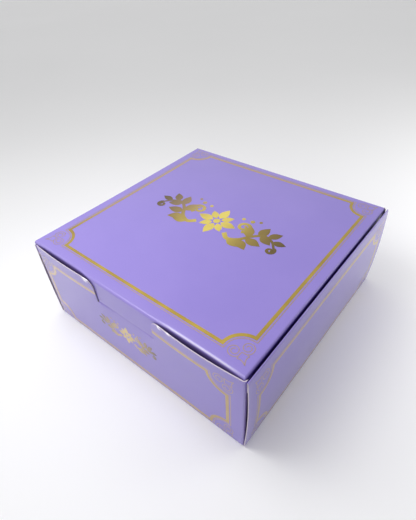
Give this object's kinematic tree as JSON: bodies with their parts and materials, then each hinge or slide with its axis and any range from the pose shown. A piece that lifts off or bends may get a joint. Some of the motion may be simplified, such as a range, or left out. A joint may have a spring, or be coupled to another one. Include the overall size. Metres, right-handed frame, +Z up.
{
  "type": "food packaging box",
  "caption": "Shut square folding carton for cakes, lavender card with gold foil frames, its lid's front flap tucked in behind slits in the front wall.",
  "frame": {"origin": "middle of the square base that the folded walls make, on the surface it stands on", "axes": "+Z up, the front wall with the tucked flap towards -Y, the lid's hinge towards +Y"},
  "size_m": [0.2036, 0.2023, 0.0799],
  "materials": {
    "printed_card": "satin",
    "gold_foil": "bright",
    "raw_edge": "matte"
  },
  "bodies": {
    "root": {"carton": "printed_card"}
  },
  "joints": []
}
